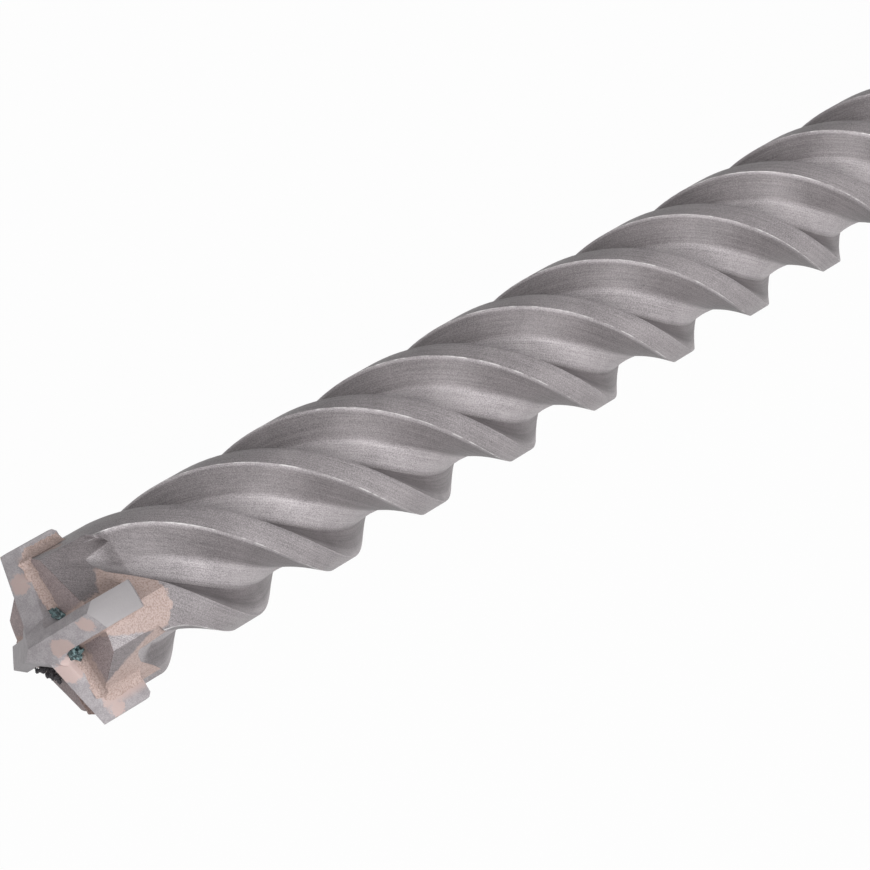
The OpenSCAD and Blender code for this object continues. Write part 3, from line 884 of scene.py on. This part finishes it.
def finishSteel():
    surface, marks = surfaces["steel"], steelMarks
    tree, at, grain = startFinish(steelFinish, surface)
    where, depth = at["Millimetres"], at["Depth"]
    fromLead, fromTrail = at["From Lead"], at["From Trail"]
    clouds = times(tree, ramp(tree, grain["Cloud"], 0.3, 0.7), marks["cloud"])
    tone = timesPlus(tree, grain["Speckle"], marks["speckle"], clouds)
    spun = addNode(tree, "ShaderNodeCombineXYZ")      # one value along a spiral line: streaks
    places = (times(tree, fromLead, 0.55), at["Radius"], times(tree, depth, 0.06))
    for socket, value in zip(spun.inputs, places):
        feed(tree, socket, value)
    streaks = ramp(tree, noise(tree, spun.outputs[0], 1.6, 4.0, 0.65), 0.3, 0.7)
    flutesEnd = (datumX - flutes["Full Neck X"]) / mm
    inFlutes = times(tree, ramp(tree, depth, 9.0, 13.0), ramp(tree, depth, flutesEnd + 4.0, flutesEnd))
    streaks = times(tree, streaks, calc(tree, "MAXIMUM", inFlutes, ramp(tree, depth, 14.0, 12.0)))
    tone = timesPlus(tree, streaks, marks["streak"], tone)
    colour = mixColour(tree, tone, colours["steelDark"], colours["steelLight"])

    # painted shade: a darker colour on the slope behind a land, on the steep wall ahead of one and, at a
    # lower share, on the lands
    slope = times(tree, ramp(tree, fromTrail, *marks["slopeEnd"]), ramp(tree, fromTrail, -0.5, -3.0))
    wall = times(tree, ramp(tree, fromLead, *marks["wallEnd"]), ramp(tree, fromLead, 0.5, 3.0))
    onLand = times(tree, ramp(tree, fromTrail, -0.5, 1.0), ramp(tree, fromLead, 0.5, -1.0))
    paintedShade = calc(tree, "MAXIMUM", slope, wall)
    paintedShade = calc(tree, "MAXIMUM", times(tree, onLand, marks["landShadeShare"]), paintedShade)
    colour = mixColour(tree, times(tree, inFlutes, paintedShade), colour,
                       colours["paintedShadeTint"], "MULTIPLY")

    # milled flats and the front face of the head
    acrossFlat = calc(tree, "RADIANS", minus(tree, at["Ahead"], drill["flatAhead"]))
    outwards = times(tree, at["Radius"], calc(tree, "COSINE", acrossFlat))
    offFlat = minus(tree, outwards, drill["flatRadius"] / mm)
    alongFlat = times(tree, at["Radius"], calc(tree, "SINE", acrossFlat))
    flatHalf = math.sqrt(flutes["Land Radius"] ** 2 - drill["flatRadius"] ** 2) / mm
    rise = math.tan(math.radians(flatCut["slant"]))
    flatRear = (drill["frontBack"] + flatCut["length"]) / mm + flatHalf * rise
    flatEnd = timesPlus(tree, alongFlat, -rise, flatRear)
    onFlat = ramp(tree, calc(tree, "ABSOLUTE", offFlat), 0.12, 0.06)
    onFlat = times(tree, onFlat, ramp(tree, minus(tree, flatEnd, depth), -0.15, 0.1))
    colour = mixColour(tree, onFlat, colour, colours["flatTint"], "MULTIPLY")
    onFront = ramp(tree, depth, 1.56, 1.52)
    colour = mixColour(tree, onFront, colour, colours["frontTint"], "MULTIPLY")

    # bright nicks where the edges of the lands are worn, and a painted highlight along those edges
    toTrail = calc(tree, "ABSOLUTE", fromTrail)
    toLead = plus(tree, calc(tree, "ABSOLUTE", fromLead), 0.45)
    toEdge = calc(tree, "MINIMUM", toTrail, toLead)
    toEdge = timesPlus(tree, noise(tree, where, 0.9, 3.0), 1.5, toEdge)
    wornAndHighlit = times(tree, ramp(tree, toEdge, 1.3, 0.95), inFlutes)
    wornAndHighlit = times(tree, wornAndHighlit, ramp(tree, noise(tree, where, 0.35, 2.0), 0.42, 0.62))
    scuffs = ramp(tree, noise(tree, spun.outputs[0], 2.6, 6.0, 0.75), 0.66, 0.72)
    scuffs = times(tree, scuffs, slope)
    scuffs = times(tree, scuffs, ramp(tree, grain["Height"], 0.45, 0.55))
    wornAndHighlit = calc(tree, "MAXIMUM", wornAndHighlit, times(tree, scuffs, inFlutes))
    colour = mixColour(tree, times(tree, wornAndHighlit, marks["wearAndHighlight"]), colour, colours["wornEdgeAndHighlight"])

    given = {name: at[name] for name in ("Depth", "Radius", "Ahead", "Long Leads")}
    given["On Flat"] = calc(tree, "MAXIMUM", onFlat, onFront)
    stain = useGroup(tree, copperStain, Where=where, **given)["Mask"]
    colour = mixColour(tree, times(tree, stain, marks["copper"]), colour, copperColour(tree, grain))
    rough = timesPlus(tree, grain["Speckle"], speckleRough, surface["rough"])
    metal = timesPlus(tree, stain, marks["copperMetal"], surface["metal"])
    tree.nodes["Principled BSDF"].inputs["Specular IOR Level"].default_value = marks["specular"]
    finishSurface(tree, surface, colour, grain, rough, metal)


# Places on the tip where copper crept over the carbide: depth, across, upright and reach in mm
carbideStains = {
    "relief of the first long arm": (-0.6, 0.9, 10.5, 1.7),
    "rim of the first short arm": (-0.7, 13.1, -0.6, 1.5),
    "beside the centre": (-2.0, 5.6, -1.9, 2.3),
    "flank of the second long arm": (2.6, 1.9, -14.8, 1.4),
    "foot of the second long arm": (-1.2, 2.0, -5.4, 2.2),
}


def finishCarbide():
    surface = surfaces["carbide"]
    tree, at, grain = startFinish(carbideFinish, surface)
    where = at["Millimetres"]
    clouds = times(tree, noise(tree, where, 0.5, 5.0, 0.6), 0.75)
    tone = timesPlus(tree, grain["Speckle"], 0.25, clouds)
    colour = mixColour(tree, ramp(tree, tone, 0.3, 0.72), colours["carbideDark"], colours["carbideLight"])
    sizes = [calc(tree, "ABSOLUTE", at[name]) for name in ("Across", "Upright")]
    short = calc(tree, "GREATER_THAN", *sizes)
    shorter = drill["shortRadius"] - drill["longRadius"]
    rim = timesPlus(tree, short, shorter / mm, drill["longRadius"] / mm)
    ground = ramp(tree, minus(tree, at["Radius"], rim), -0.12, -0.04)
    colour = mixColour(tree, ground, colour, colours["groundRim"])
    ragged = minus(tree, noise(tree, where, 1.3, 5.0, 0.65), 0.5)
    stain = 0.0
    for depth, across, upright, reach in carbideStains.values():
        squares = 0.0
        for have, want in ((at["Depth"], depth), (at["Across"], across), (at["Upright"], upright)):
            step = minus(tree, have, want)
            squares = timesPlus(tree, step, step, squares)
        away = timesPlus(tree, ragged, 2.6, minus(tree, calc(tree, "SQRT", squares), reach))
        stain = calc(tree, "MAXIMUM", stain, ramp(tree, away, 0.25, -0.15))
    creep = ramp(tree, timesPlus(tree, ragged, 2.4, at["Depth"]), 0.55, 1.0)
    creep = times(tree, creep, ramp(tree, at["Radius"], 15.0, 13.5))
    stain = calc(tree, "MAXIMUM", stain, creep)
    colour = mixColour(tree, times(tree, stain, 0.85), colour,
                       mixColour(tree, grain["Speckle"], colours["carbideStain"], colours["copperLight"]))
    rough = timesPlus(tree, grain["Speckle"], speckleRough, surface["rough"])
    finishSurface(tree, surface, colour, grain, rough)


def finishBraze():
    tree, _, grain = startFinish(brazeFinish, surfaces["braze"])
    finishSurface(tree, surfaces["braze"], copperColour(tree, grain), grain)


def finishFlux():
    tree, _, grain = startFinish(fluxFinish, surfaces["flux"])
    colour = mixColour(tree, ramp(tree, grain["Height"], 0.4, 0.6), colours["fluxDark"], colours["fluxLight"])
    finishSurface(tree, surfaces["flux"], colour, grain)


def finishCrust():
    tree, _, grain = startFinish(crustFinish, surfaces["crust"])
    finishSurface(tree, surfaces["crust"], colours["crust"], grain)


finishSteel()
finishCarbide()
finishBraze()
finishFlux()
finishCrust()
print("materials: done")


# Beads of flux and lumps of burnt crust: noisy balls, joined in one mesh each

beads = {
    "in the corner above": ((0.9, 3.9, 3.1), (0.8, 1.7, 0.9)),
    "in the corner below": ((0.5, 3.1, -3.4), (1.1, 1.4, 1.4)),
}
lumps = {"start": (0.8, -10.9, -2.3), "end": (0.8, -5.7, -6.1), "count": 40, "size": 0.42,
         "spread": 0.55, "seed": 7}
ball = {"subdivisions": 4, "swell": 0.7, "waves": 2.2}


def headPlace(depth, across, upright):
    return standing() @ Vector((across * mm, upright * mm, datumX - depth * mm))


def addBall(shape, place, sizes, seed):
    made = bmesh.ops.create_icosphere(shape, subdivisions=ball["subdivisions"], radius=1.0)["verts"]
    for vert in made:
        swell = 1.0 + ball["swell"] * field.noise(vert.co * ball["waves"] + Vector((seed, 0, 0)))
        vert.co = place + swell * Vector([vert.co[i] * sizes[i] * mm for i in range(3)])


def makeFlux():
    def build(shape):
        for seed, (place, sizes) in enumerate(beads.values()):
            addBall(shape, headPlace(*place), sizes, 3.1 * seed)
    mesh = meshFrom("fluxBeads", build)
    mesh.shade_smooth()
    mesh.materials.append(fluxFinish)
    return addObject("fluxBeads", mesh)


def makeCrust():
    chance = random.Random(lumps["seed"])

    def build(shape):
        for i in range(lumps["count"]):
            share = (i + chance.random()) / lumps["count"]
            place = [a + (b - a) * share + chance.uniform(-lumps["spread"], lumps["spread"])
                     for a, b in zip(lumps["start"], lumps["end"])]
            size = lumps["size"] * chance.uniform(0.5, 1.1)
            addBall(shape, headPlace(*place), (size, size, size), 5.7 * i)
    mesh = meshFrom("burntCrust", build)
    mesh.shade_smooth()
    mesh.materials.append(crustFinish)
    return addObject("burntCrust", mesh)


fluxBeads = makeFlux()
burntCrust = makeCrust()
for piece in (fluxBeads, burntCrust):
    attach(piece, "root")
print("flux and crust:", len(fluxBeads.data.polygons) + len(burntCrust.data.polygons), "faces")


# White room with a soft shadow on the floor: plain white to the camera, also in metal and through glass

def seenRays(tree):
    path = addNode(tree, "ShaderNodeLightPath").outputs
    mirrored = calc(tree, "MAXIMUM", path["Is Glossy Ray"], path["Is Transmission Ray"])
    return calc(tree, "MAXIMUM", path["Is Camera Ray"], mirrored)


def whiteForCamera(tree, lit, light):
    seen = seenRays(tree)
    mixed = addNode(tree, "ShaderNodeMixShader")
    feed(tree, mixed.inputs[0], times(tree, seen, light))
    feed(tree, mixed.inputs[1], lit)
    white = addNode(tree, "ShaderNodeEmission")
    feed(tree, white.inputs["Color"], (1, 1, 1, 1))
    feed(tree, mixed.inputs[2], white.outputs[0])
    return mixed.outputs[0]


floorMesh = meshFrom("floor", lambda shape: bmesh.ops.create_grid(shape, size=3.0))
floor = addObject("floor", floorMesh)
floor.location.z = -flutes["Land Radius"]

view = {
    "lens": 130.8,
    "place": (datumX + 0.25011, 0.32502, 0.31678),
    "axes": ((-0.69134, 0.72253, 0.0), (-0.40704, -0.38947, 0.82619), (0.59698, 0.57118, 0.56335)),
}
camera = bpy.data.objects.new("camera", bpy.data.cameras.new("camera"))
scene.collection.objects.link(camera)
camera.data.sensor_width = 36.0
camera.data.lens = view["lens"]
camera.data.clip_start = 0.01
cameraAxes = Matrix(view["axes"]).transposed().to_4x4()
cameraAxes.translation = Vector(view["place"])
camera.matrix_world = cameraAxes
scene.camera = camera

room = {
    "worldLight": 0.03,
    "floorWhite": 0.98,       # share of plain white in what the camera sees of the floor
    "floorColour": (0.35, 0.35, 0.35, 1),
    "aim": (0.42, 0, 0),      # point that the lamps face
    "lamps": (                # place, size and watts
        ((1.33, -0.26, 0.91), 0.9, 4.6),
        ((0.42, 1.25, 0.28), 0.7, 15.0),
        ((1.2, 0.8, 0.4), 1.3, 6.8),
    ),
}
for place, size, power in room["lamps"]:
    lamp = bpy.data.objects.new("softBox", bpy.data.lights.new("softBox", "AREA"))
    lamp.data.energy = power
    lamp.data.size = size
    lamp.location = place
    lamp.rotation_euler = (Vector(room["aim"]) - Vector(place)).to_track_quat("-Z", "Y").to_euler()
    scene.collection.objects.link(lamp)

floorFinish = bpy.data.materials.new("paleFloor")
floorFinish.use_nodes = True
floorTree = floorFinish.node_tree
floorTree.nodes["Principled BSDF"].inputs["Base Color"].default_value = room["floorColour"]
floorTree.nodes["Principled BSDF"].inputs["Roughness"].default_value = 1.0
feed(floorTree, floorTree.nodes["Material Output"].inputs["Surface"],
     whiteForCamera(floorTree, floorTree.nodes["Principled BSDF"].outputs[0], room["floorWhite"]))
floor.data.materials.append(floorFinish)

scene.view_settings.view_transform = "Standard"
world = bpy.data.worlds.new("whiteRoom")
scene.world = world
world.use_nodes = True
background = world.node_tree.nodes["Background"]
background.inputs["Color"].default_value = (1, 1, 1, 1)
sky = world.node_tree
feed(sky, background.inputs["Strength"],
     timesPlus(sky, seenRays(sky), 1.0 - room["worldLight"], room["worldLight"]))
print("room: done")
